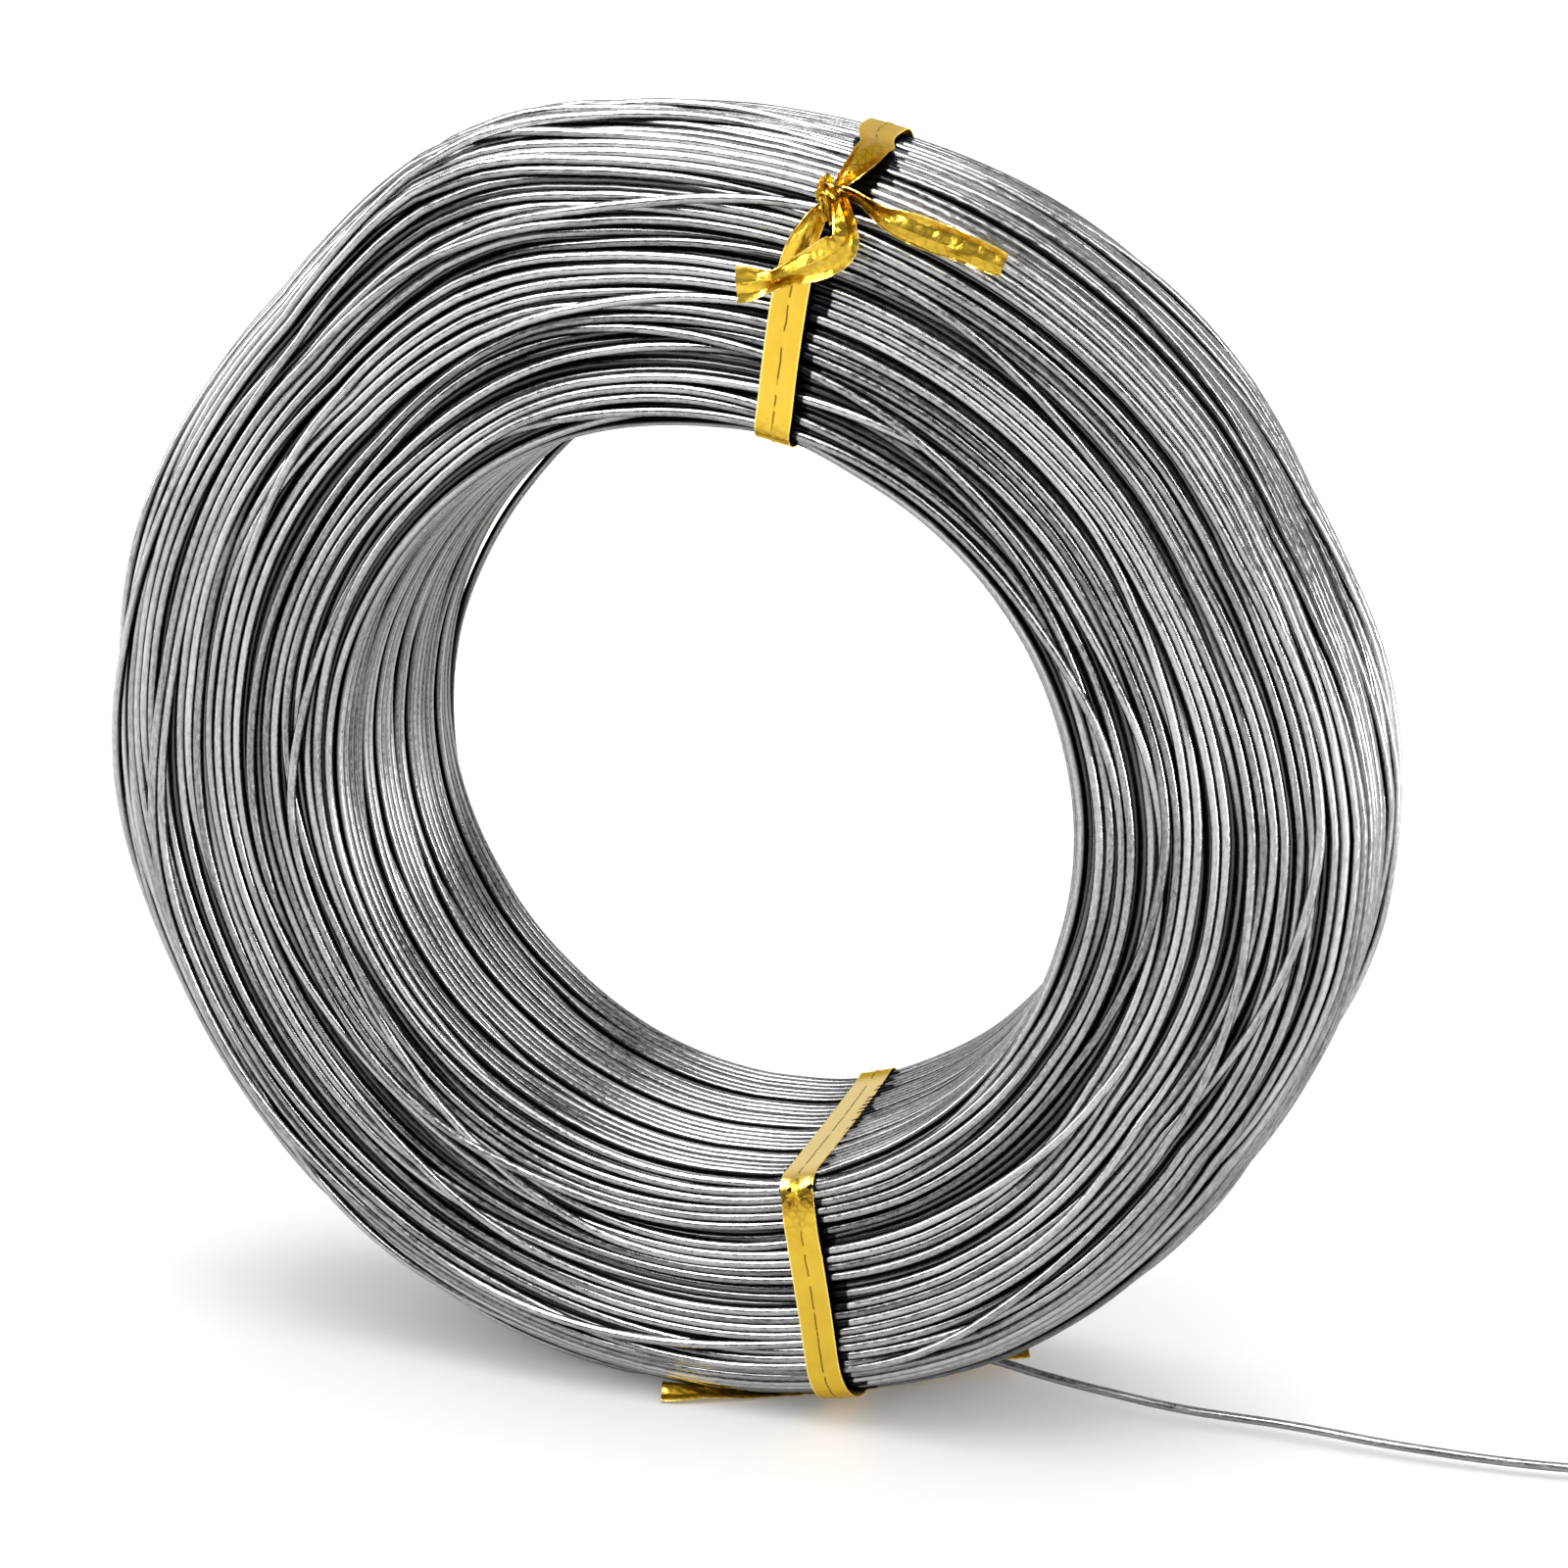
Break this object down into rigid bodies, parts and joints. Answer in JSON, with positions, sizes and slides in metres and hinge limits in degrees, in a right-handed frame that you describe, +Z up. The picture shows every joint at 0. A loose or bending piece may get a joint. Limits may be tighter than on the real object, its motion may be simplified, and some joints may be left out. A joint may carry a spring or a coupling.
{
  "type": "coil of aluminum craft wire",
  "caption": "Free-standing wound coil of round bare aluminum wire with an open bore, held by two flat gold ties, with one loose wire end.",
  "frame": {"origin": "middle of the coil's bore", "axes": "+Z up as the coil stands on its rim, +Y along the bore towards the back, +X to the right as seen from the front"},
  "size_m": [0.1751, 0.0353, 0.14],
  "materials": {
    "wire": "bright drawn bare aluminum",
    "tie": "gold metallised film over a thin core"
  },
  "bodies": {
    "root": {"wire_coil": "wire", "wire_end": "wire", "top_tie": "tie", "bottom_tie": "tie"}
  },
  "joints": []
}
